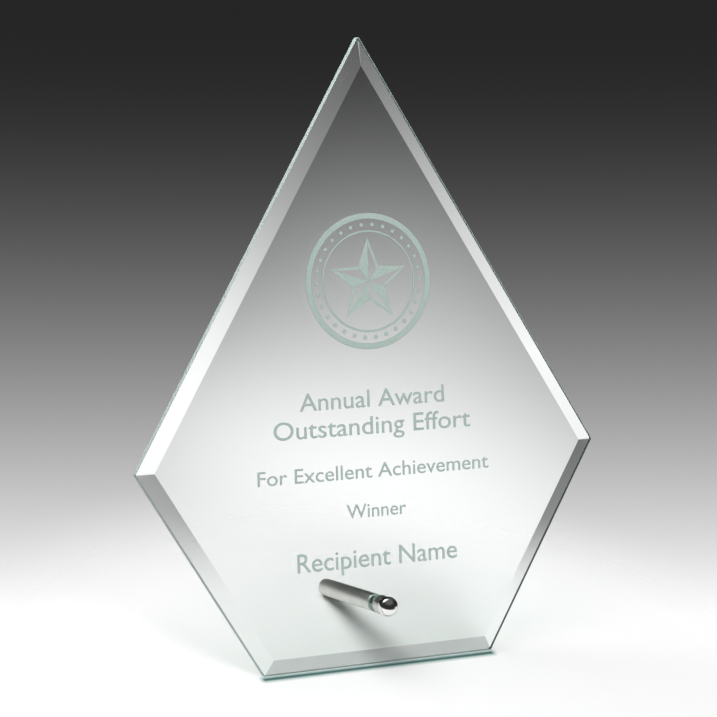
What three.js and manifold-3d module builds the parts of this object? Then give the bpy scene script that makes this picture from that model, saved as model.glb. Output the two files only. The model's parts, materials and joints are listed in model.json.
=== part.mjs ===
// A bevelled glass award: a five-sided diamond plate that leans back on a round metal pin.
// The pin is a set of turned pieces drawn together through one hole in the glass by a threaded stud.
// Millimetres, +Z up. The part stands on z = 0 with the origin under the middle of its box.
// Each piece is drawn in the plate's own frame, x to the right, y square to the glass and backwards,
// z up the plate from its bottom edge, and one group then leans them all back together.
import * as THREE from "three";
import { ConvexGeometry } from "three/addons/geometries/ConvexGeometry.js";
import { mergeVertices } from "three/addons/utils/BufferGeometryUtils.js";
import Module from "manifold-3d";

// The glass plate is a tall rhombus cut off level, halfway down its lower half.
const plateHeight = 250;
const plateWidth = 200;
const shoulderHeight = plateHeight / 3;
const baseWidth = plateWidth / 2;
const glassThickness = 5;
const bevelWidth = 6.25;
const bevelDepth = 2;
const arris = 0.3;
const tipFlat = 0.6;

// The pin: every piece is round about one axis square to the glass.
const holeHeight = 24;
const holeRadius = 3.2;
const fitGap = 0.1;
const studRadius = 2;
const studClearance = 0.15;
const studInCap = 4.9;
const studInRod = 8.1;
const bushWall = 0.8;
const washerRadius = 3.6;
const washerThickness = 0.8;
const barrelRadius = 3.85;
const barrelLength = 5.4;
const domeRadius = 4;
const domeLand = 1.4;
const capBoreDepth = 5.4;
const rodRadius = 3.6;
const rodLength = 50;
const rodBoreDepth = 10;
const edgeBreak = 0.35;
const rodEndBreak = 0.5;
const drillPoint = 0.35; // a drill point's depth as a share of the bore's diameter
const roundSegments = 64;

// Where things lie along the pin, measured backwards from the front face of the glass.
const frontWasherBack = -fitGap;
const frontWasherFront = frontWasherBack - washerThickness;
const capBack = frontWasherFront - fitGap;
const rimPlane = capBack - barrelLength;
const rearWasherFront = glassThickness + fitGap;
const rearWasherBack = rearWasherFront + washerThickness;
const rodFront = rearWasherBack + fitGap;
const rodBack = rodFront + rodLength;
const boreRadius = studRadius + studClearance;

// The part rests on the plate's rear bottom edge and on the rod's lower rim, which sets its lean.
const restPlate = { y: glassThickness - arris, z: 0 };
const restRod = { y: rodBack - rodEndBreak, z: holeHeight - rodRadius };
const lean = Math.atan2(restRod.z - restPlate.z, restRod.y - restPlate.y);

const wasm = await Module();
wasm.setup();

const finishes = {
  glass: { color: 0xdfeee9, roughness: 0.02, metalness: 0, transparent: true, opacity: 0.4 },
  satinSteel: { color: 0xb9b9b4, roughness: 0.32, metalness: 1 },
  polishedSteel: { color: 0xd6d4d0, roughness: 0.12, metalness: 1 },
  stud: { color: 0x8d8f8e, roughness: 0.4, metalness: 1 },
  clearPlastic: { color: 0xe4ebe6, roughness: 0.25, metalness: 0, transparent: true, opacity: 0.6 },
};

function namedMesh(name, geometry, finish) {
  const mesh = new THREE.Mesh(geometry, new THREE.MeshStandardMaterial(finish));
  mesh.name = name;
  return mesh;
}

// A convex outline with every side moved inwards by a distance, its corners kept sharp.
function inset(outline, distance) {
  const sides = outline.map((start, i) => {
    const along = outline[(i + 1) % outline.length].clone().sub(start).normalize();
    const inward = new THREE.Vector2(-along.y, along.x);
    return { point: start.clone().addScaledVector(inward, distance), along };
  });
  return sides.map((side, i) => {
    const before = sides[(i + sides.length - 1) % sides.length];
    const apart = side.point.clone().sub(before.point);
    const run = apart.cross(side.along) / before.along.cross(side.along);
    return before.point.clone().addScaledVector(before.along, run);
  });
}

// The same outline with each corner ground off to a narrow flat.
function dubbed(outline, flat) {
  return outline.flatMap((corner, i) => {
    const before = outline[(i + outline.length - 1) % outline.length];
    const after = outline[(i + 1) % outline.length];
    const back = before.clone().sub(corner).normalize();
    const on = after.clone().sub(corner).normalize();
    const cut = flat / back.distanceTo(on);
    return [corner.clone().addScaledVector(back, cut), corner.clone().addScaledVector(on, cut)];
  });
}

function level(outline, y) {
  return outline.map((point) => new THREE.Vector3(point.x, y, point.y));
}

// A geometry as a manifold-3d solid.
function solid(geometry) {
  const bare = geometry.clone();
  bare.deleteAttribute("normal");
  bare.deleteAttribute("uv");
  const merged = mergeVertices(bare, 1e-4);
  return new wasm.Manifold(
    new wasm.Mesh({
      numProp: 3,
      vertProperties: new Float32Array(merged.attributes.position.array),
      triVerts: new Uint32Array(merged.index.array),
    }),
  );
}

function geometryOf(manifold) {
  const mesh = manifold.getMesh();
  const geometry = new THREE.BufferGeometry();
  geometry.setAttribute("position", new THREE.BufferAttribute(mesh.vertProperties, 3));
  geometry.setIndex(new THREE.BufferAttribute(mesh.triVerts, 1));
  return geometry;
}

// A closed profile of [radius, y] pairs turned about the pin's axis. The list runs the way that
// turns its faces outwards: up the outside as y grows, and back down the inside or the axis.
function turned(profile) {
  const points = profile.map(([radius, y]) => new THREE.Vector2(radius, y));
  const geometry = new THREE.LatheGeometry(points, roundSegments);
  return geometry.translate(0, 0, holeHeight);
}

// The plate: a wide polished bevel all round the front, an upright wall and a fine rear arris.
function glassPlate() {
  const outline = [
    new THREE.Vector2(0, plateHeight),
    new THREE.Vector2(-plateWidth / 2, shoulderHeight),
    new THREE.Vector2(-baseWidth / 2, 0),
    new THREE.Vector2(baseWidth / 2, 0),
    new THREE.Vector2(plateWidth / 2, shoulderHeight),
  ];
  const wall = dubbed(outline, tipFlat);
  const body = new ConvexGeometry([
    ...level(inset(outline, bevelWidth), 0),
    ...level(wall, bevelDepth),
    ...level(wall, glassThickness - arris),
    ...level(dubbed(inset(outline, arris), tipFlat), glassThickness),
  ]);
  const drill = turned([
    [0, -1],
    [holeRadius, -1],
    [holeRadius, glassThickness + 1],
    [0, glassThickness + 1],
  ]);
  return geometryOf(solid(body).subtract(solid(drill)));
}

// The front cap: a satin barrel, a slightly wider polished dome and a blind tapped bore from behind.
function frontCap() {
  const domeCentre = rimPlane - domeLand;
  const domeSteps = 12;
  const dome = [];
  for (let i = 0; i <= domeSteps; i += 1) {
    const turn = (i / domeSteps) * (Math.PI / 2);
    dome.push([domeRadius * Math.sin(turn), domeCentre - domeRadius * Math.cos(turn)]);
  }
  const boreEnd = capBack - capBoreDepth;
  return turned([
    ...dome,
    [domeRadius, rimPlane],
    [barrelRadius, rimPlane],
    [barrelRadius, capBack - edgeBreak],
    [barrelRadius - edgeBreak, capBack],
    [boreRadius, capBack],
    [boreRadius, boreEnd],
    [0, boreEnd - boreRadius * drillPoint],
  ]);
}

function ring(inner, outer, front, back) {
  return turned([
    [inner, front],
    [outer, front],
    [outer, back],
    [inner, back],
    [inner, front],
  ]);
}

// The stud: a headless screw with a cone-broken edge at each end.
function threadedStud() {
  const front = capBack - studInCap;
  const back = rodFront + studInRod;
  return turned([
    [0, front],
    [studRadius - edgeBreak, front],
    [studRadius, front + edgeBreak],
    [studRadius, back - edgeBreak],
    [studRadius - edgeBreak, back],
    [0, back],
  ]);
}

// The rear rod: the leg that the award leans on, bored and tapped at the glass end.
function rearRod() {
  const boreEnd = rodFront + rodBoreDepth;
  return turned([
    [0, boreEnd + boreRadius * drillPoint],
    [boreRadius, boreEnd],
    [boreRadius, rodFront],
    [rodRadius - edgeBreak, rodFront],
    [rodRadius, rodFront + edgeBreak],
    [rodRadius, rodBack - rodEndBreak],
    [rodRadius - rodEndBreak, rodBack],
    [0, rodBack],
  ]);
}

const leaning = new THREE.Group();
leaning.add(
  namedMesh("glass_plate", glassPlate(), finishes.glass),
  namedMesh("front_cap", frontCap(), finishes.polishedSteel),
  namedMesh(
    "front_washer",
    ring(boreRadius, washerRadius, frontWasherFront, frontWasherBack),
    finishes.clearPlastic,
  ),
  namedMesh(
    "hole_bush",
    ring(boreRadius, boreRadius + bushWall, fitGap, glassThickness - fitGap),
    finishes.clearPlastic,
  ),
  namedMesh(
    "rear_washer",
    ring(boreRadius, washerRadius, rearWasherFront, rearWasherBack),
    finishes.clearPlastic,
  ),
  namedMesh("threaded_stud", threadedStud(), finishes.stud),
  namedMesh("rear_rod", rearRod(), finishes.satinSteel),
);
leaning.rotation.x = -lean;

// The group is then set down on z = 0 and centred front to back.
const award = new THREE.Group();
award.add(leaning);
award.updateMatrixWorld(true);
const box = new THREE.Box3().setFromObject(award, true);
leaning.position.set(0, -(box.min.y + box.max.y) / 2, -box.min.z);

export default award;
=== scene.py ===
# A bevelled glass award plaque that leans back on a round metal pin.
# Every piece is drawn in the plate's own frame, x to the right, y back through the glass and
# z up it from the bottom edge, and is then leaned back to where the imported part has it.
import json
import math

import bmesh
import bpy
import numpy as np
from mathutils import Matrix


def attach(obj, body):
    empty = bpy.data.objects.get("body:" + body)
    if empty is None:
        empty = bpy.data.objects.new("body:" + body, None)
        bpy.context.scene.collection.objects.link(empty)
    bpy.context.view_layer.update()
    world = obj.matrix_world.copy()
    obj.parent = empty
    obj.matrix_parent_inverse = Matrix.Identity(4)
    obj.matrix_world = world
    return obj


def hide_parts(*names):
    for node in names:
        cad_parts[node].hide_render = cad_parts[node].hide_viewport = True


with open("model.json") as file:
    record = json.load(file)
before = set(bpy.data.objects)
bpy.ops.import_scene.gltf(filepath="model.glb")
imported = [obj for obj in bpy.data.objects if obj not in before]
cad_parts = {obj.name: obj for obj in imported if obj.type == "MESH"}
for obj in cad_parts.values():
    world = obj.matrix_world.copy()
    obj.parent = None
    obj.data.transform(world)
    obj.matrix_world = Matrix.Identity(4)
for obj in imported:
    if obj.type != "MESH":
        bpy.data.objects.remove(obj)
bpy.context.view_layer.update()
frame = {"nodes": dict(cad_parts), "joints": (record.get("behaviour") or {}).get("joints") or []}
print("frame loaded:", ", ".join(sorted(frame["nodes"])))

mm = 0.001
scene = bpy.context.scene
weldSizes = {"turned": 2e-7, "engraved": 1e-7, "floor": 1e-6, "glow": 1e-4}  # joins points nearer than this

# the plate's own frame, from the joint that the cap turns on
pinPlace = {
    "holeHeight": 24 * mm,  # the pin's axis above the plate's bottom edge
    "capBack": -1 * mm,  # the joint's point, this far behind the front face
}
capTurn = next(joint for joint in frame["joints"] if joint["name"] == "cap_turn")
forward = np.array(capTurn["axis"])
backward = -forward / np.linalg.norm(forward)
rightward = np.array([1.0, 0.0, 0.0])
upward = np.cross(rightward, backward)
plateOrigin = (
    np.array(capTurn["pos_m"])
    - backward * pinPlace["capBack"]
    - upward * pinPlace["holeHeight"]
)
leanAngle = math.atan2(-backward[2], backward[1])


def leaned(points):
    # plate frame to row frame: origin + x right + y backward + z upward
    return plateOrigin + points @ np.stack([rightward, backward, upward])


# surfaces on a grid of two parameters
def gridFaces(rows, columns, closeRows=False, closeColumns=True):
    # one quad between each four neighbours of a grid whose points are listed row by row
    i = np.arange(rows if closeRows else rows - 1)[:, None]
    j = np.arange(columns if closeColumns else columns - 1)[None, :]
    nextRow, nextColumn = (i + 1) % rows, (j + 1) % columns
    corners = [i * columns + j, i * columns + nextColumn,
               nextRow * columns + nextColumn, nextRow * columns + j]
    return np.stack(np.broadcast_arrays(*corners), -1).reshape(-1, 4)


def turnedPoints(profile, around, centre=(0, pinPlace["holeHeight"])):
    # a profile of (radius, y) pairs carried round the pin's axis: x = radius cos a, z = radius sin a
    angle = np.arange(around) * (2 * math.pi / around)
    radius, along = profile[:, :1], profile[:, 1:]
    return np.stack([
        centre[0] + radius * np.cos(angle),
        along + 0 * angle,
        centre[1] + radius * np.sin(angle),
    ], -1).reshape(-1, 3)


def softened(corners, radii, steps=5):
    # a profile whose corners are rounded: each arc touches both sides, radius / tan(half angle) back
    # from the corner, and its points slide evenly round its centre
    corners = np.array(corners, float)
    result = []
    for k, (corner, radius) in enumerate(zip(corners, radii)):
        if radius == 0 or k in (0, len(corners) - 1):
            result.append(corner[None])
            continue
        before, after = corners[k - 1] - corner, corners[k + 1] - corner
        before, after = before / np.linalg.norm(before), after / np.linalg.norm(after)
        halfAngle = math.acos(np.clip(before @ after, -1, 1)) / 2
        middle = (before + after) / np.linalg.norm(before + after)
        centre = corner + middle * radius / math.sin(halfAngle)
        start, end = (corner + side * radius / math.tan(halfAngle) - centre for side in (before, after))
        turn = np.linspace(0, 1, steps)[:, None]
        sweep = math.acos(np.clip(start @ end / radius**2, -1, 1))
        result.append(
            centre + (start * np.sin((1 - turn) * sweep) + end * np.sin(turn * sweep)) / math.sin(sweep)
        )
    return np.concatenate(result)


def weld(mesh, distance, outward=True):
    # joins points nearer than the distance, which closes seams and poles, and points the faces outwards
    shell = bmesh.new()
    shell.from_mesh(mesh)
    bmesh.ops.remove_doubles(shell, verts=shell.verts, dist=distance)
    if outward:
        bmesh.ops.recalc_face_normals(shell, faces=shell.faces)
    shell.to_mesh(mesh)
    shell.free()


def faceNormals(mesh):
    normals = np.empty(len(mesh.polygons) * 3)
    mesh.polygons.foreach_get("normal", normals)
    return normals.reshape(-1, 3)


def addPiece(name, points, faces, materials, body, nodes=(), sharpDegrees=30, materialOf=None):
    # leans the piece back with the plate, closes it and rides it on its body
    mesh = bpy.data.meshes.new(name)
    mesh.from_pydata(leaned(points).tolist(), [], faces.tolist())
    for material in materials:
        mesh.materials.append(material)
    if materialOf is not None:
        mesh.polygons.foreach_set("material_index", materialOf.astype(np.int32))
    weld(mesh, weldSizes["turned"])
    mesh.shade_smooth()
    mesh.set_sharp_from_angle(angle=math.radians(sharpDegrees))
    piece = bpy.data.objects.new(name, mesh)
    scene.collection.objects.link(piece)
    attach(piece, body)
    if nodes:
        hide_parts(*nodes)
    return piece


# material helpers
def newMaterial(name):
    material = bpy.data.materials.new(name)
    material.use_nodes = True
    tree = material.node_tree
    return material, tree, tree.nodes["Principled BSDF"]


def addNode(tree, kind, settings=None, **values):
    node = tree.nodes.new(kind)
    for key, value in (settings or {}).items():
        setattr(node, key, value)
    for key, value in values.items():
        node.inputs[key.replace("_", " ")].default_value = value
    return node


def plateCoordinates(tree):
    # object coordinates turned back into the plate's frame, so a pattern lies square to the glass
    place = addNode(tree, "ShaderNodeTexCoord")
    turned = addNode(tree, "ShaderNodeMapping", {"vector_type": "TEXTURE"})
    turned.inputs["Location"].default_value = tuple(plateOrigin)
    turned.inputs["Rotation"].default_value = (-leanAngle, 0, 0)
    tree.links.new(place.outputs["Object"], turned.inputs["Vector"])
    return turned.outputs["Vector"]


def ramp(tree, source, stops):
    node = addNode(tree, "ShaderNodeValToRGB")
    while len(node.color_ramp.elements) < len(stops):
        node.color_ramp.elements.new(0.5)
    for element, (position, colour) in zip(node.color_ramp.elements, stops):
        element.position = position
        element.color = (*colour, 1)
    tree.links.new(source, node.inputs["Fac"])
    return node.outputs["Color"]


def maths(tree, operation, *terms):
    # a Math node whose terms are numbers or sockets
    node = addNode(tree, "ShaderNodeMath", {"operation": operation})
    for socket, term in zip(node.inputs, terms):
        if isinstance(term, (int, float)):
            socket.default_value = term
        else:
            tree.links.new(term, socket)
    return node.outputs["Value"]


def dotted(tree, source, direction):
    node = addNode(tree, "ShaderNodeVectorMath", {"operation": "DOT_PRODUCT"})
    node.inputs[1].default_value = tuple(direction)
    tree.links.new(source, node.inputs[0])
    return node.outputs["Value"]


def ranged(tree, source, low, high, toLow, toHigh, shape="LINEAR"):
    node = addNode(tree, "ShaderNodeMapRange", {"interpolation_type": shape})
    for key, value in (("From Min", low), ("From Max", high), ("To Min", toLow), ("To Max", toHigh)):
        node.inputs[key].default_value = value
    tree.links.new(source, node.inputs["Value"])
    return node.outputs["Result"]


# glass plate
glassSizes = {
    "height": 250 * mm,
    "width": 200 * mm,
    "shoulder": 250 / 3 * mm,  # the outer corners' height
    "base": 100 * mm,
    "thickness": 5 * mm,
    "bevelWidth": 6.25 * mm,
    "bevelDepth": 2 * mm,
    "frontArris": 0.3 * mm,
    "rearArris": 0.5 * mm,
    "tipRadius": 0.85 * mm,
    "shoulderRadius": 1.15 * mm,
    "footRadius": 0.4 * mm,
    "holeRadius": 3.2 * mm,
    "holeChamfer": 0.2 * mm,
    "pointsPerSide": 30,
    "pointsPerCorner": 7,
    "wallBelow": 0.85,  # faces with less of their normal along the pin are walls
    "bevelBelow": 0.99,  # and bevels below this
    "paintedShadeWall": (0.1, 0.3),  # the wall with painted shade faces footward and rightward by more than these
    "footBevel": 0.25,  # the foot's bevel faces footward by more than this
    "sharpDegrees": 3,
}
glassFinish = {
    "ior": 1.52,
    "paintedFootBevelShade": (0.42, 0.415, 0.425),  # painted shade greying the foot's bevel, which is also a little less polished
    "footBevelRough": 0.06,
    "edgeTint": (0.42, 0.50, 0.48),  # the ground walls
    "paintedShadeEdgeTint": (0.02, 0.05, 0.055),  # painted shade on the wall that runs up from the foot's right
    "edgeRough": 0.6,
    "absorbColour": (0.30, 0.86, 0.72),
    "absorbDensity": 5.0,
}


def makeClearGlass():
    material, tree, shader = newMaterial("clearGlass")
    shader.inputs["Transmission Weight"].default_value = 1
    shader.inputs["IOR"].default_value = glassFinish["ior"]
    finish = addNode(tree, "ShaderNodeAttribute", {"attribute_name": "finish"})
    # painted shade greys the foot's bevel; its roughness rises there too
    tint = ramp(tree, finish.outputs["Fac"], [(0, (1, 1, 1)), (1, glassFinish["paintedFootBevelShade"])])
    tree.links.new(tint, shader.inputs["Base Color"])
    level = ranged(tree, finish.outputs["Fac"], 0, 1, 0, glassFinish["footBevelRough"])
    tree.links.new(level, shader.inputs["Roughness"])
    depth = addNode(tree, "ShaderNodeVolumeAbsorption")
    depth.inputs["Color"].default_value = (*glassFinish["absorbColour"], 1)
    depth.inputs["Density"].default_value = glassFinish["absorbDensity"]
    tree.links.new(depth.outputs["Volume"], tree.nodes["Material Output"].inputs["Volume"])
    return material


def makeGroundEdge():
    # the walls and the hole scatter light instead of letting it through; the wall up from the foot's right is
    # darkened with painted shade
    material, tree, shader = newMaterial("groundEdge")
    shader.inputs["IOR"].default_value = glassFinish["ior"]
    shader.inputs["Roughness"].default_value = glassFinish["edgeRough"]
    finish = addNode(tree, "ShaderNodeAttribute", {"attribute_name": "finish"})
    tint = ramp(tree, finish.outputs["Fac"], [
        (0, glassFinish["edgeTint"]), (1, glassFinish["paintedShadeEdgeTint"]),
    ])
    tree.links.new(tint, shader.inputs["Base Color"])
    return material


def insetCorners(distance):
    # the five corners with every side moved inwards: each is where its two moved sides cross
    s = glassSizes
    outline = np.array([
        (0, s["height"]), (-s["width"] / 2, s["shoulder"]), (-s["base"] / 2, 0),
        (s["base"] / 2, 0), (s["width"] / 2, s["shoulder"]),
    ])
    along = np.roll(outline, -1, 0) - outline
    along /= np.linalg.norm(along, axis=1)[:, None]
    inward = np.stack([-along[:, 1], along[:, 0]], 1)
    before = np.roll(inward, 1, 0)
    shift = (inward + before) / (1 + (inward * before).sum(1))[:, None]
    return outline + distance * shift, inward


def outlineLoop(distance):
    # once round the plate at one inset: an arc at each corner, of the corner's radius less the
    # inset, then evenly spaced points along the side to the next corner
    s = glassSizes
    corners = ("tipRadius", "shoulderRadius", "footRadius", "footRadius", "shoulderRadius")
    radius = np.array([s[corner] for corner in corners])
    arcRadius = np.maximum(radius - distance, 0)
    inward = insetCorners(distance)[1]
    rounded = np.array([insetCorners(max(r, distance))[0][k] for k, r in enumerate(radius)])
    turn = np.linspace(0, 1, s["pointsPerCorner"])[:, None]
    loop = []
    for k in range(5):
        first, last = -inward[k - 1], -inward[k]
        sweep = math.acos(first @ last)
        arc = (first * np.sin((1 - turn) * sweep) + last * np.sin(turn * sweep)) / math.sin(sweep)
        loop.append(rounded[k] + arcRadius[k] * arc)
        start = loop[-1][-1]
        end = rounded[(k + 1) % 5] + arcRadius[(k + 1) % 5] * last
        share = np.linspace(0, 1, s["pointsPerSide"] + 2)[1:-1, None]
        loop.append(start + (end - start) * share)
    return np.concatenate(loop)


def makeGlassPlate():
    # a closed band of loops: hole rim, bevel's inner and outer edge, wall, rear face, hole wall
    s = glassSizes
    wall = outlineLoop(0)
    centre = np.array([0, pinPlace["holeHeight"]])
    spoke = wall - centre
    spoke /= np.linalg.norm(spoke, axis=1)[:, None]
    back = s["thickness"]
    frontStep = s["frontArris"] * s["bevelDepth"] / s["bevelWidth"]
    loops = [
        (centre + spoke * (s["holeRadius"] + s["holeChamfer"]), 0),
        (outlineLoop(s["bevelWidth"]), 0),
        (outlineLoop(s["frontArris"]), s["bevelDepth"] - frontStep),
        (wall, s["bevelDepth"] + s["frontArris"] / 2),
        (wall, back - s["rearArris"]),
        (outlineLoop(s["rearArris"]), back),
        (centre + spoke * (s["holeRadius"] + s["holeChamfer"]), back),
        (centre + spoke * s["holeRadius"], back - s["holeChamfer"]),
        (centre + spoke * s["holeRadius"], s["holeChamfer"]),
    ]
    points = np.concatenate([
        np.stack([loop[:, 0], np.full(len(loop), y), loop[:, 1]], 1) for loop, y in loops
    ])
    faces = gridFaces(len(loops), len(wall), closeRows=True)
    plate = addPiece("glassPlate", points, faces, [makeClearGlass()], "plaque",
                     ["glass_plate"], sharpDegrees=s["sharpDegrees"])
    # walls turn away from the pin's axis by more than a bevel does; the foot's bevel faces down a little
    mesh = plate.data
    normals = faceNormals(mesh)
    facing = np.abs(normals @ backward)
    footward, sideways = -normals @ upward, normals @ rightward
    isWall = facing < s["wallBelow"]
    isPaintedShadeWall = (footward > s["paintedShadeWall"][0]) & (sideways > s["paintedShadeWall"][1])
    isFootBevel = (facing < s["bevelBelow"]) & (footward > s["footBevel"])
    # marked faces take painted shade: the wall up from the foot's right, and the foot's bevel
    isShadeMarked = np.where(isWall, isPaintedShadeWall, isFootBevel)
    mark = mesh.attributes.new("finish", "FLOAT", "FACE")
    mark.data.foreach_set("value", isShadeMarked.astype(np.float32))
    mesh.materials.append(makeGroundEdge())
    mesh.polygons.foreach_set("material_index", isWall.astype(np.int32))
    return plate


glassPlate = makeGlassPlate()
print("glass plate made")


# metal and plastic finishes
metalFinishes = {
    # colour, roughness, and how fine and how deep the turned rings are
    "satinSteel": ((0.80, 0.79, 0.76), 0.44, 9000.0, 0.02 * mm),
    "barrelSteel": ((0.80, 0.79, 0.77), 0.38, 12000.0, 0.02 * mm),
    "platedSteel": ((0.58, 0.59, 0.60), 0.34, 5000.0, 0.03 * mm),
}
polishFinish = {"dull": (0.86, 0.84, 0.82), "bright": (0.90, 0.89, 0.87), "roughness": (0.03, 0.07)}
plasticFinish = {
    "colour": (0.86, 0.90, 0.88), "transmission": 0.45, "ior": 1.5, "roughness": (0.12, 0.3),
}


def makeTurnedMetal(name, colour, roughness, ringScale, ringDepth, streak=0.08):
    # satin metal off a lathe: rings of noise that change only along the pin's axis
    material, tree, shader = newMaterial(name)
    place = plateCoordinates(tree)
    split = addNode(tree, "ShaderNodeSeparateXYZ")
    tree.links.new(place, split.inputs["Vector"])
    rings = addNode(tree, "ShaderNodeTexNoise", {"noise_dimensions": "1D"}, Scale=ringScale, Detail=4.0)
    tree.links.new(split.outputs["Y"], rings.inputs["W"])
    cloud = addNode(tree, "ShaderNodeTexNoise", Scale=220.0, Detail=3.0)
    tree.links.new(place, cloud.inputs["Vector"])
    tone = ramp(tree, cloud.outputs["Fac"], [
        (0.3, tuple(c * (1 - streak) for c in colour)), (0.7, colour),
    ])
    tree.links.new(tone, shader.inputs["Base Color"])
    rough = ranged(tree, rings.outputs["Fac"], 0.25, 0.75, roughness * 0.8, roughness * 1.25)
    tree.links.new(rough, shader.inputs["Roughness"])
    bump = addNode(tree, "ShaderNodeBump", Strength=0.35, Distance=ringDepth)
    tree.links.new(rings.outputs["Fac"], bump.inputs["Height"])
    tree.links.new(bump.outputs["Normal"], shader.inputs["Normal"])
    shader.inputs["Metallic"].default_value = 1
    return material


def makePolishedMetal():
    material, tree, shader = newMaterial("polishedDome")
    smear = addNode(tree, "ShaderNodeTexNoise", Scale=400.0, Detail=2.0)
    tree.links.new(plateCoordinates(tree), smear.inputs["Vector"])
    rough = ranged(tree, smear.outputs["Fac"], 0.3, 0.7, *polishFinish["roughness"])
    tree.links.new(rough, shader.inputs["Roughness"])
    tone = ramp(tree, smear.outputs["Fac"], [(0.3, polishFinish["dull"]), (0.7, polishFinish["bright"])])
    tree.links.new(tone, shader.inputs["Base Color"])
    shader.inputs["Metallic"].default_value = 1
    return material


def makeClearPlastic():
    material, tree, shader = newMaterial("clearNylon")
    shader.inputs["Base Color"].default_value = (*plasticFinish["colour"], 1)
    shader.inputs["Transmission Weight"].default_value = plasticFinish["transmission"]
    shader.inputs["IOR"].default_value = plasticFinish["ior"]
    cloud = addNode(tree, "ShaderNodeTexNoise", Scale=700.0, Detail=3.0)
    tree.links.new(plateCoordinates(tree), cloud.inputs["Vector"])
    rough = ranged(tree, cloud.outputs["Fac"], 0.3, 0.7, *plasticFinish["roughness"])
    tree.links.new(rough, shader.inputs["Roughness"])
    return material


satinSteel, barrelSteel, platedSteel = (
    makeTurnedMetal(name, *finish) for name, finish in metalFinishes.items()
)
polishedDome = makePolishedMetal()
clearNylon = makeClearPlastic()

# the pin's turned pieces, by their places along the axis behind the glass's front face
pinSizes = {
    "around": 128,
    "studRadius": 2.0 * mm,
    "boreRadius": 2.15 * mm,
    "washerRadius": 3.6 * mm,
    "washerFront": -0.9 * mm,
    "washerBack": -0.1 * mm,
    "bushRadius": 2.95 * mm,
    "rearWasherFront": 5.1 * mm,
    "rearWasherBack": 5.9 * mm,
}
rodSizes = {
    "radius": 3.6 * mm, "front": 6.0 * mm, "back": 56.0 * mm, "boreDepth": 10.0 * mm,
    "drillPoint": 0.75 * mm, "frontChamfer": 0.35 * mm, "backChamfer": 0.5 * mm,
}
capSizes = {
    "barrelRadius": 3.85 * mm, "back": -1.0 * mm, "rim": -6.4 * mm, "domeRadius": 4.0 * mm,
    "domeLand": 1.4 * mm, "boreDepth": 5.4 * mm, "drillPoint": 0.75 * mm, "chamfer": 0.35 * mm,
    "grooveDepth": 0.12 * mm, "grooveWidth": 0.3 * mm, "domeSteps": 40,
}
studSizes = {
    "front": -5.9 * mm, "back": 14.1 * mm, "pitch": 0.7 * mm, "threadDepth": 0.36 * mm,
    "chamfer": 0.35 * mm, "around": 48, "rowsPerTurn": 12,
}


def makeRing(name, inner, outer, front, back, soft, body, node):
    profile = softened(
        [(inner, (front + back) / 2), (inner, front), (outer, front), (outer, back), (inner, back),
         (inner, (front + back) / 2)],
        [0, soft, soft, soft, soft, 0],
    )
    return addPiece(name, turnedPoints(profile, pinSizes["around"]),
                    gridFaces(len(profile), pinSizes["around"]),
                    [clearNylon], body, [node])


def makeRearRod():
    s, bore = rodSizes, pinSizes["boreRadius"]
    boreEnd = s["front"] + s["boreDepth"]
    profile = softened(
        [(0, boreEnd + s["drillPoint"]), (bore, boreEnd), (bore, s["front"] + 0.25 * mm),
         (bore + 0.25 * mm, s["front"]), (s["radius"] - s["frontChamfer"], s["front"]),
         (s["radius"], s["front"] + s["frontChamfer"]), (s["radius"], s["back"] - s["backChamfer"]),
         (s["radius"] - s["backChamfer"], s["back"]), (1.1 * mm, s["back"]),
         (0.5 * mm, s["back"] - 0.5 * mm), (0, s["back"] - 0.62 * mm)],
        [0, 0.05 * mm, 0.05 * mm, 0.05 * mm, 0.08 * mm, 0.12 * mm, 0.15 * mm, 0.15 * mm, 0.05 * mm,
         0.1 * mm, 0],
    )
    return addPiece("rearRod", turnedPoints(profile, pinSizes["around"]),
                    gridFaces(len(profile), pinSizes["around"]),
                    [satinSteel], "plaque", ["rear_rod"])


def makeFrontCap():
    s, bore = capSizes, pinSizes["boreRadius"]
    boreEnd = s["back"] - s["boreDepth"]
    groove = s["barrelRadius"] - s["grooveDepth"]
    domeCentre = s["rim"] - s["domeLand"]
    turn = np.linspace(0, math.pi / 2, s["domeSteps"])[:, None]
    dome = np.hstack([s["domeRadius"] * np.sin(turn), domeCentre - s["domeRadius"] * np.cos(turn)])
    barrel = softened(
        [(s["domeRadius"], domeCentre + 0.1 * mm), (s["domeRadius"], s["rim"]), (groove, s["rim"]),
         (groove, s["rim"] + s["grooveWidth"]), (s["barrelRadius"], s["rim"] + s["grooveWidth"]),
         (s["barrelRadius"], s["back"] - s["chamfer"]), (s["barrelRadius"] - s["chamfer"], s["back"]),
         (bore + 0.2 * mm, s["back"]), (bore, s["back"] - 0.2 * mm), (bore, boreEnd),
         (0, boreEnd - s["drillPoint"])],
        [0, 0.12 * mm, 0.02 * mm, 0.02 * mm, 0.1 * mm, 0.1 * mm, 0.1 * mm, 0.05 * mm, 0.05 * mm,
         0.05 * mm, 0],
    )
    profile = np.concatenate([dome, barrel])
    rows = gridFaces(len(profile), pinSizes["around"])
    polishedRows = len(dome) + 4  # the dome, its land and the rounded lip
    materialOf = (np.arange(len(rows)) // pinSizes["around"]) >= polishedRows
    return addPiece("frontCap", turnedPoints(profile, pinSizes["around"]), rows,
                    [polishedDome, barrelSteel], "cap", ["front_cap"],
                    materialOf=materialOf)


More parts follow.
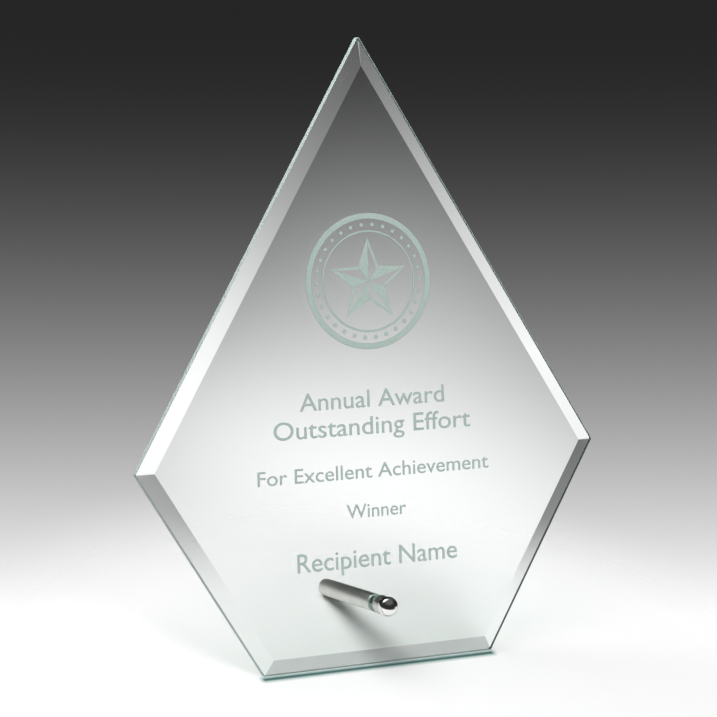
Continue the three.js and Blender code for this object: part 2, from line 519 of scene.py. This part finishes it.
def makeThreadedStud():
    # a screw: the radius falls by a V that repeats once a pitch and once round, and fades at the ends
    s = studSizes
    rows = int(round((s["back"] - s["front"]) / s["pitch"] * s["rowsPerTurn"])) + 1
    along = np.linspace(s["front"], s["back"], rows)[:, None]
    angle = np.arange(s["around"])[None, :] * (2 * math.pi / s["around"])
    phase = (along / s["pitch"] + angle / (2 * math.pi)) % 1
    vee = np.abs(2 * phase - 1)
    ends = np.minimum(along - s["front"], s["back"] - along)
    limit = pinSizes["studRadius"] - np.maximum(s["chamfer"] - ends, 0)
    radius = np.minimum(pinSizes["studRadius"] - s["threadDepth"] * vee, limit)
    ring = np.stack([radius * np.cos(angle), along + 0 * angle,
                     pinPlace["holeHeight"] + radius * np.sin(angle)], -1)
    poles = [np.broadcast_to([0, y, pinPlace["holeHeight"]], (1, s["around"], 3))
             for y in (s["front"] + 0.4 * mm, s["back"] - 0.4 * mm)]
    grid = np.concatenate([poles[0], ring, poles[1]])
    return addPiece("threadedStud", grid.reshape(-1, 3), gridFaces(len(grid), s["around"]),
                    [platedSteel], "plaque", ["threaded_stud"], sharpDegrees=40)


makeRing("frontWasher", pinSizes["boreRadius"], pinSizes["washerRadius"], pinSizes["washerFront"],
         pinSizes["washerBack"], 0.12 * mm, "washer", "front_washer")
makeRing("rearWasher", pinSizes["boreRadius"], pinSizes["washerRadius"], pinSizes["rearWasherFront"],
         pinSizes["rearWasherBack"], 0.12 * mm, "plaque", "rear_washer")
makeRing("holeBush", pinSizes["boreRadius"], pinSizes["bushRadius"], 0.1 * mm, 4.9 * mm,
         0.1 * mm, "plaque", "hole_bush")
makeRearRod()
makeFrontCap()
makeThreadedStud()
print("pin made")

# engraving: a plain star medal and five lines of plain award wording, frosted into the glass
engraving = {
    "depth": 0.05 * mm,  # how far the frosting stands off the face
    "gap": 0.004 * mm,  # how far its foot is clear of the face
    "flatFrom": 0.97,  # faces with less of their normal along the pin are sloping edges
    "capitalShare": 0.72,  # a capital's height as a share of the type's size
    "slope": 0.12 * mm,  # how wide the strokes' sloping edges are
    "weight": 0.03 * mm,  # how much the letters' strokes are thickened
    "colour": (0.50, 0.62, 0.57),
    # painted shade: the sloping edges' darker copy of the frosting's colour
    "slopeShadeColour": (0.30, 0.39, 0.36),
    "grain": 2600.0, "grainDark": 0.84, "grainLight": 1.14,
    "lines": [  # wording, baseline, capital height and width, in mm up and across the plate
        ("Annual Award", 103.2, 7.2, 63),
        ("Outstanding Effort", 92.4, 7.4, 86),
        ("For Excellent Achievement", 75.0, 6.0, 101),
        ("Winner", 59.3, 5.8, 26),
        ("Recipient Name", 39.6, 7.8, 70),
    ],
}
medalSizes = {  # radii from the medal's middle
    "middle": (0.0, 153 * mm), "around": 160,
    "outerRing": (24.6 * mm, 27.0 * mm),
    "innerRing": (19.4 * mm, 20.2 * mm),
    "beads": 30, "beadSides": 12, "beadRadius": 0.85 * mm, "beadCircle": 22.4 * mm,
    "starTip": 17.4 * mm, "starNotch": 7.4 * mm,
    "starLine": 0.9 * mm,  # the width of the star's outlined half facets
    "notchLines": 1.6, "tipLines": 3.1,  # how many such widths their inner corners lie from notch and tip
    "filledShare": 0.995,  # the filled half facets' size, as a share of the star's
}


def makeFrosting():
    # ground glass as an opaque, grainy surface, pale on the flats, with painted shade darkening the sloping
    # edges
    material, tree, shader = newMaterial("frostedEngraving")
    speck = addNode(tree, "ShaderNodeTexNoise", Scale=engraving["grain"], Detail=2.0)
    tree.links.new(plateCoordinates(tree), speck.inputs["Vector"])
    tones = []
    for colour in (engraving["colour"], engraving["slopeShadeColour"]):
        tones.append(ramp(tree, speck.outputs["Fac"], [
            (0.35, tuple(c * engraving["grainDark"] for c in colour)),
            (0.65, tuple(min(c * engraving["grainLight"], 1) for c in colour)),
        ]))
    slope = addNode(tree, "ShaderNodeAttribute", {"attribute_name": "slopingEdge"})
    blend = addNode(tree, "ShaderNodeMix", {"data_type": "RGBA"})
    tree.links.new(slope.outputs["Fac"], blend.inputs["Factor"])
    for tone, end in zip(tones, ("A", "B")):
        tree.links.new(tone, [i for i in blend.inputs if i.name == end and i.type == "RGBA"][0])
    tree.links.new([o for o in blend.outputs if o.type == "RGBA"][0], shader.inputs["Base Color"])
    tree.links.new(ranged(tree, speck.outputs["Fac"], 0.3, 0.7, 0.55, 0.8), shader.inputs["Roughness"])
    bump = addNode(tree, "ShaderNodeBump", Strength=0.4, Distance=0.00005)
    tree.links.new(speck.outputs["Fac"], bump.inputs["Height"])
    tree.links.new(bump.outputs["Normal"], shader.inputs["Normal"])
    shader.inputs["Specular IOR Level"].default_value = 0.3
    return material


frosting = makeFrosting()


def addFrosted(name, mesh):
    # closes a mesh given in the plate's frame, marks its sloping faces for painted shade and rides it on the
    # plaque
    points = np.empty(len(mesh.vertices) * 3)
    mesh.vertices.foreach_get("co", points)
    mesh.vertices.foreach_set("co", leaned(points.reshape(-1, 3)).ravel())
    mesh.materials.clear()
    mesh.materials.append(frosting)
    weld(mesh, weldSizes["engraved"])
    sloping = np.abs(faceNormals(mesh) @ backward) < engraving["flatFrom"]
    mark = mesh.attributes.new("slopingEdge", "FLOAT", "FACE")
    mark.data.foreach_set("value", sloping.astype(np.float32))
    piece = bpy.data.objects.new(name, mesh)
    scene.collection.objects.link(piece)
    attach(piece, "plaque")
    return piece


def makeLettering(index, words, baseline, capital, width):
    # a text curve with sloping edges, made a mesh, fitted to its width and stood on the front face
    curve = bpy.data.curves.new("wording%d" % index, "FONT")
    curve.body = words
    curve.align_x = "CENTER"
    curve.size = capital * mm / engraving["capitalShare"]
    curve.extrude = 0.002 * mm
    curve.bevel_depth = engraving["slope"]
    curve.bevel_resolution = 0
    curve.offset = engraving["weight"] - engraving["slope"]
    curve.resolution_u = 5
    holder = bpy.data.objects.new("wording%d" % index, curve)
    scene.collection.objects.link(holder)
    bpy.context.view_layer.update()
    mesh = bpy.data.meshes.new_from_object(holder.evaluated_get(bpy.context.evaluated_depsgraph_get()))
    bpy.data.objects.remove(holder)
    points = np.empty(len(mesh.vertices) * 3)
    mesh.vertices.foreach_get("co", points)
    points = points.reshape(-1, 3)
    lowest, highest = points.min(0), points.max(0)
    stretch = width * mm / (highest[0] - lowest[0])
    print("  line", index, "stretched by", round(stretch, 3))
    # the back half of the rounded slab is flattened onto the glass
    rise = np.maximum(points[:, 2], 0) / highest[2] * engraving["depth"]
    points = np.stack([(points[:, 0] - (lowest[0] + highest[0]) / 2) * stretch, -rise - engraving["gap"],
                       points[:, 1] + baseline * mm], 1)
    mesh.vertices.foreach_set("co", points.ravel())
    return addFrosted("lettering%d" % index, mesh)


def prismParts(outline, inset, start):
    # a flat-topped prism on an outline of (x, z) points listed anticlockwise: foot loop, top loop
    middle = outline.mean(0)
    top = middle + (outline - middle) * (1 - inset / np.linalg.norm(outline - middle, axis=1).max())
    count = len(outline)
    points = np.concatenate([
        np.stack([outline[:, 0], np.full(count, -engraving["gap"]), outline[:, 1]], 1),
        np.stack([top[:, 0], np.full(count, -engraving["gap"] - engraving["depth"]), top[:, 1]], 1),
    ])
    ahead = (np.arange(count) + 1) % count
    sides = [[start + i, start + ahead[i], start + count + ahead[i], start + count + i] for i in range(count)]
    caps = [[start + i for i in range(count)][::-1], [start + count + i for i in range(count)]]
    return points, sides + caps


def makeMedal():
    m = medalSizes
    middle = np.array(m["middle"])
    points, faces = [], []

    def addPrism(outline, inset=engraving["slope"]):
        more, sides = prismParts(middle + outline, inset, sum(len(p) for p in points))
        points.append(more)
        faces.extend(sides)

    # rings: a closed profile carried round the medal's middle
    for inner, outer in (m["outerRing"], m["innerRing"]):
        slope, foot, top = engraving["slope"], -engraving["gap"], -engraving["gap"] - engraving["depth"]
        profile = np.array([(inner, foot), (inner + slope, top), (outer - slope, top), (outer, foot)])
        grid = turnedPoints(profile, m["around"], middle)
        ring = gridFaces(len(profile), m["around"], closeRows=True) + sum(len(p) for p in points)
        faces.extend(ring.tolist())
        points.append(grid)
    # beads between the rings
    turn = np.arange(m["beadSides"]) * (2 * math.pi / m["beadSides"])
    bead = m["beadRadius"] * np.stack([np.cos(turn), np.sin(turn)], 1)
    for k in range(m["beads"]):
        angle = 2 * math.pi * k / m["beads"]
        addPrism(bead + m["beadCircle"] * np.array([math.cos(angle), math.sin(angle)]))
    # the star: each arm is a filled half and an outlined half, which meet along its ridge
    for k in range(5):
        ridge = math.pi / 2 + 2 * math.pi * k / 5
        tip = m["starTip"] * np.array([math.cos(ridge), math.sin(ridge)])
        left, right = (
            m["starNotch"] * np.array([math.cos(ridge + side), math.sin(ridge + side)])
            for side in (math.pi / 5, -math.pi / 5)
        )
        addPrism(np.array([0 * tip, tip, left])[::-1] * m["filledShare"])
        along = (right - tip) / np.linalg.norm(right - tip)
        inward = np.array([along[1], -along[0]])
        inward *= np.sign(inward @ (0 * tip - tip)) * m["starLine"]
        addPrism(np.array([tip, right, right * (1 - m["starLine"] * m["notchLines"] / m["starNotch"]),
                           tip + inward + along * m["starLine"] * m["tipLines"]]))
    mesh = bpy.data.meshes.new("medal")
    mesh.from_pydata(np.concatenate(points).tolist(), [], faces)
    return addFrosted("medal", mesh)


for index, line in enumerate(engraving["lines"], 1):
    makeLettering(index, *line)
makeMedal()
print("engraving made")


# floor, backdrop, lights and camera
stageSizes = {
    "floorRadius": 0.21,
    "floorMiddle": (0.0, -0.08, 0.0),
    "floorFull": 0.095,  # the floor is solid to this radius, then thins into the backdrop
    "floorReach": 2.5,
    "floorColour": (0.75, 0.75, 0.75),
    "footMiddle": -0.0465,  # the painted shadow under the glass's edge: how far forward, how wide and long
    "footWidth": 0.0004, "footLength": 0.0500, "footSoft": 0.0026,
    # painted shadow: a dark teal core and a paler edge, painted on the floor at the glass's foot
    "paintedFootShadow": (0.06, 0.13, 0.12), "paintedShadowEdge": (0.42, 0.50, 0.49),
    "shadowEdgeAt": 0.4,  # the painted shadow's paler edge, placed between its dark core and the floor's colour
    "floorRough": 0.7, "rings": 12, "around": 96,
}
backdrop = {
    "upDirection": (0.0585, 0.4093, 0.9105),  # the way in which it darkens
    "darkest": 0.019, "brightest": 1.0, "darkAt": 0.143, "brightAt": -0.105, "curve": 2.7,
    "aheadDirection": (0.4085, 0.8214, -0.398),
    "blend": 0.3,  # how gradually it gives way to the room, as a cosine
    "room": 0.03, "lowRoom": 0.55, "ceiling": 0.10,  # behind the camera, level and below; straight up
    "lowBand": (-0.3, 0.02), "ceilingBand": (0.6, 0.9),  # where they fade in, as heights on a unit ball
}
glassGlows = [  # soft lights that only the glass shows; angles in degrees: where, how wide, how bright
    {"azimuth": 152.7, "elevation": -23.3, "across": 3.9, "rise": 3.4, "strength": 0.37},
    {"azimuth": 152.2, "elevation": -26.4, "across": 5.3, "rise": 2.1, "strength": 0.31},
    {"azimuth": 157.5, "elevation": -25.3, "across": 2.2, "rise": 1.7, "strength": 0.12},
]
glowSizes = {"radius": 9.0, "middle": (0.0, 0.0, 0.1), "rows": 49, "columns": 96, "cutoff": 0.01}
softboxSizes = {
    "place": (-0.35, 0.25, 1.1), "aim": (0, 0.03, 0), "size": (1.05, 1.05), "power": 7.5,
    "throughGlass": 12,  # the part of its light that gets through the glass
    "fillPlace": (0.5, -1.0, 0.9), "fillSize": (0.8, 0.8), "fillPower": 8,
    "sparkPlace": (-0.55, 0.62, 0.85), "sparkSize": (0.55, 0.25), "sparkPower": 1.8,
}
cameraPlace = {
    "aim": (-0.00413, 0.00097, 0.11416), "distance": 0.98574, "azimuth": -26.446,
    "elevation": 23.456, "roll": 7.524, "lens": 124.62,
}


def makeFloor():
    # a disc on a grid of radius and angle
    rings, around = stageSizes["rings"], stageSizes["around"]
    radii = np.linspace(0, stageSizes["floorReach"], rings)[:, None]
    angle = np.arange(around)[None, :] * (2 * math.pi / around)
    points = np.stack([radii * np.cos(angle), radii * np.sin(angle), 0 * radii * angle], -1).reshape(-1, 3)
    points += stageSizes["floorMiddle"]
    mesh = bpy.data.meshes.new("floor")
    mesh.from_pydata(points.tolist(), [], gridFaces(rings, around).tolist())
    weld(mesh, weldSizes["floor"], outward=False)
    mesh.flip_normals()
    material, tree, shader = newMaterial("paleFloor")
    shader.inputs["Roughness"].default_value = stageSizes["floorRough"]
    shader.inputs["Specular IOR Level"].default_value = 0.0
    place = addNode(tree, "ShaderNodeTexCoord")
    reach = addNode(tree, "ShaderNodeVectorMath", {"operation": "DISTANCE"})
    reach.inputs[1].default_value = stageSizes["floorMiddle"]
    tree.links.new(place.outputs["Object"], reach.inputs[0])
    fade = ranged(tree, reach.outputs["Value"], stageSizes["floorFull"], stageSizes["floorRadius"],
                  1, 0, "SMOOTHSTEP")
    tree.links.new(fade, shader.inputs["Alpha"])
    # painted shadow: a dark teal band painted on the floor under the glass's edge at the foot, by the
    # distance past a thin block there
    split = addNode(tree, "ShaderNodeSeparateXYZ")
    tree.links.new(place.outputs["Object"], split.inputs["Vector"])
    offset = addNode(tree, "ShaderNodeCombineXYZ")
    for axis, middle, half in (("X", 0, stageSizes["footLength"]),
                               ("Y", stageSizes["footMiddle"], stageSizes["footWidth"])):
        size = maths(tree, "ABSOLUTE", maths(tree, "SUBTRACT", split.outputs[axis], middle))
        past = maths(tree, "MAXIMUM", maths(tree, "SUBTRACT", size, half), 0)
        tree.links.new(past, offset.inputs[axis])
    away = addNode(tree, "ShaderNodeVectorMath", {"operation": "LENGTH"})
    tree.links.new(offset.outputs["Vector"], away.inputs[0])
    spread = ranged(tree, away.outputs["Value"], 0, stageSizes["footSoft"], 0, 1)
    foot = ramp(tree, spread, [(0, stageSizes["paintedFootShadow"]), (stageSizes["shadowEdgeAt"], stageSizes["paintedShadowEdge"]),
                               (1, stageSizes["floorColour"])])
    tree.links.new(foot, shader.inputs["Base Color"])
    mesh.materials.append(material)
    floor = bpy.data.objects.new("floor", mesh)
    scene.collection.objects.link(floor)


def makeBackdrop():
    # brightness = darkest + (brightest - darkest) x^curve, where x runs from 0 to 1 down the backdrop,
    # and behind the camera it falls to a dim room with a pale floor; straight up is a pale ceiling
    world = bpy.data.worlds.new("studio")
    world.use_nodes = True
    scene.world = world
    tree = world.node_tree
    place = addNode(tree, "ShaderNodeTexCoord")
    height = dotted(tree, place.outputs["Generated"], backdrop["upDirection"])
    down = ranged(tree, height, backdrop["darkAt"], backdrop["brightAt"], 0, 1)
    curve = maths(tree, "POWER", down, backdrop["curve"])
    lit = ranged(tree, curve, 0, 1, backdrop["darkest"], backdrop["brightest"])
    ahead = dotted(tree, place.outputs["Generated"], backdrop["aheadDirection"])
    share = ranged(tree, ahead, -backdrop["blend"], backdrop["blend"], 0, 1)
    level = addNode(tree, "ShaderNodeSeparateXYZ")
    tree.links.new(place.outputs["Generated"], level.inputs["Vector"])
    room = ranged(tree, level.outputs["Z"], *backdrop["lowBand"], backdrop["lowRoom"], backdrop["room"])
    blend = addNode(tree, "ShaderNodeMix", {"data_type": "FLOAT"})
    tree.links.new(room, blend.inputs["A"])
    tree.links.new(share, blend.inputs["Factor"])
    tree.links.new(lit, blend.inputs["B"])
    ceiling = ranged(tree, level.outputs["Z"], *backdrop["ceilingBand"], 0, backdrop["ceiling"])
    brightness = maths(tree, "ADD", blend.outputs["Result"], ceiling)
    tree.links.new(brightness, tree.nodes["Background"].inputs["Color"])


def makeGlassGlow(receivers):
    # a ball of air round the award whose glows only the glass shows, as a brighter patch of backdrop
    # would; each glow's brightness is strength exp(-(u^2 + v^2) / 2), u and v being the angles across
    # and up from its middle over its spreads
    g = glowSizes
    rise = np.linspace(-1, 1, g["rows"])[:, None] * math.pi / 2
    turn = np.arange(g["columns"])[None, :] * (2 * math.pi / g["columns"])
    points = g["radius"] * np.stack([
        np.cos(rise) * np.cos(turn), np.cos(rise) * np.sin(turn), np.sin(rise) + 0 * turn,
    ], -1).reshape(-1, 3) + g["middle"]
    mesh = bpy.data.meshes.new("glassGlow")
    mesh.from_pydata(points.tolist(), [], gridFaces(g["rows"], g["columns"]).tolist())
    weld(mesh, weldSizes["glow"], outward=False)
    material = bpy.data.materials.new("glassGlow")
    material.use_nodes = True
    tree = material.node_tree
    tree.nodes.remove(tree.nodes["Principled BSDF"])
    place = addNode(tree, "ShaderNodeTexCoord")
    spoke = addNode(tree, "ShaderNodeVectorMath", {"operation": "SUBTRACT"})
    spoke.inputs[1].default_value = g["middle"]
    tree.links.new(place.outputs["Object"], spoke.inputs[0])
    unit = addNode(tree, "ShaderNodeVectorMath", {"operation": "NORMALIZE"})
    tree.links.new(spoke.outputs["Vector"], unit.inputs[0])
    total = 0
    for glow in glassGlows:
        turned, raised = math.radians(glow["azimuth"]), math.radians(glow["elevation"])
        across = np.array([math.cos(turned), math.sin(turned), 0])
        upright = np.array([-math.sin(turned) * math.sin(raised), math.cos(turned) * math.sin(raised),
                            math.cos(raised)])
        squares = []
        for axis, spread in ((across, glow["across"]), (upright, glow["rise"])):
            share = dotted(tree, unit.outputs["Vector"], axis / math.radians(spread))
            squares.append(maths(tree, "MULTIPLY", share, share))
        bell = maths(tree, "POWER", math.exp(-0.5), maths(tree, "ADD", *squares))
        # the far side of the ball has the same angles, and stays dark
        ahead = dotted(tree, unit.outputs["Vector"], np.cross(across, upright))
        strength = ranged(tree, ahead, -g["cutoff"], g["cutoff"], 0, glow["strength"])
        total = maths(tree, "MULTIPLY_ADD", bell, strength, total)
    light = addNode(tree, "ShaderNodeEmission")
    tree.links.new(total, light.inputs["Strength"])
    both = addNode(tree, "ShaderNodeAddShader")
    tree.links.new(light.outputs["Emission"], both.inputs[0])
    tree.links.new(addNode(tree, "ShaderNodeBsdfTransparent").outputs["BSDF"], both.inputs[1])
    tree.links.new(both.outputs["Shader"], tree.nodes["Material Output"].inputs["Surface"])
    mesh.materials.append(material)
    shell = bpy.data.objects.new("glassGlow", mesh)
    scene.collection.objects.link(shell)
    shell.visible_camera = shell.visible_shadow = shell.visible_diffuse = False
    group = bpy.data.collections.new("glassGlowReceivers")
    for piece in receivers:
        group.objects.link(piece)
    shell.light_linking.receiver_collection = group


def addSoftbox(name, place, aim, size, power, shine=True, inGlass=True):
    light = bpy.data.lights.new(name, "AREA")
    light.shape = "RECTANGLE"
    light.size, light.size_y = size
    light.energy = power
    lamp = bpy.data.objects.new(name, light)
    scene.collection.objects.link(lamp)
    lamp.location = place
    away = np.array(place) - np.array(aim)
    away /= np.linalg.norm(away)
    side = np.cross([0, 0, 1], away)
    side /= np.linalg.norm(side)
    lamp.rotation_mode = "QUATERNION"
    lamp.rotation_quaternion = matrixOf(side, np.cross(away, side), away).to_quaternion()
    lamp.visible_camera = False
    lamp.visible_glossy = shine
    lamp.visible_transmission = inGlass
    return lamp


def matrixOf(xAxis, yAxis, zAxis):
    return Matrix([list(row) for row in np.stack([xAxis, yAxis, zAxis], 1)])


def makeCamera():
    # orbits the aim by azimuth and elevation, then rolls about the line of sight
    c = cameraPlace
    a, e, r = (math.radians(c[key]) for key in ("azimuth", "elevation", "roll"))
    back = np.array([math.sin(a) * math.cos(e), -math.cos(a) * math.cos(e), math.sin(e)])
    level = np.array([math.cos(a), math.sin(a), 0])
    side = math.cos(r) * level + math.sin(r) * np.cross(back, level)
    data = bpy.data.cameras.new("camera")
    data.lens = c["lens"]
    data.sensor_width = 36
    data.clip_start, data.clip_end = 0.01, 50
    camera = bpy.data.objects.new("camera", data)
    scene.collection.objects.link(camera)
    camera.rotation_mode = "QUATERNION"
    camera.location = np.array(c["aim"]) + back * c["distance"]
    camera.rotation_quaternion = matrixOf(side, np.cross(back, side), back).to_quaternion()
    scene.camera = camera


def shineThrough(lamp, piece):
    # the lamp's light passes the glass as if it were air, as it nearly does in life
    group = bpy.data.collections.new(lamp.name + "Passes")
    group.objects.link(piece)
    lamp.light_linking.blocker_collection = group
    group.collection_objects[0].light_linking.link_state = "EXCLUDE"


def makeLamps():
    s = softboxSizes
    addSoftbox("overheadSoftbox", s["place"], s["aim"], s["size"], s["power"], shine=False)
    through = addSoftbox("throughGlass", s["place"], s["aim"], s["size"], s["throughGlass"], shine=False)
    shineThrough(through, glassPlate)
    addSoftbox("frontFill", s["fillPlace"], s["aim"], s["fillSize"], s["fillPower"],
               shine=False, inGlass=False)
    addSoftbox("spark", s["sparkPlace"], s["aim"], s["sparkSize"], s["sparkPower"])


makeFloor()
makeBackdrop()
makeGlassGlow([glassPlate])
makeLamps()
makeCamera()
scene.view_settings.view_transform = "Standard"
print("stage made")
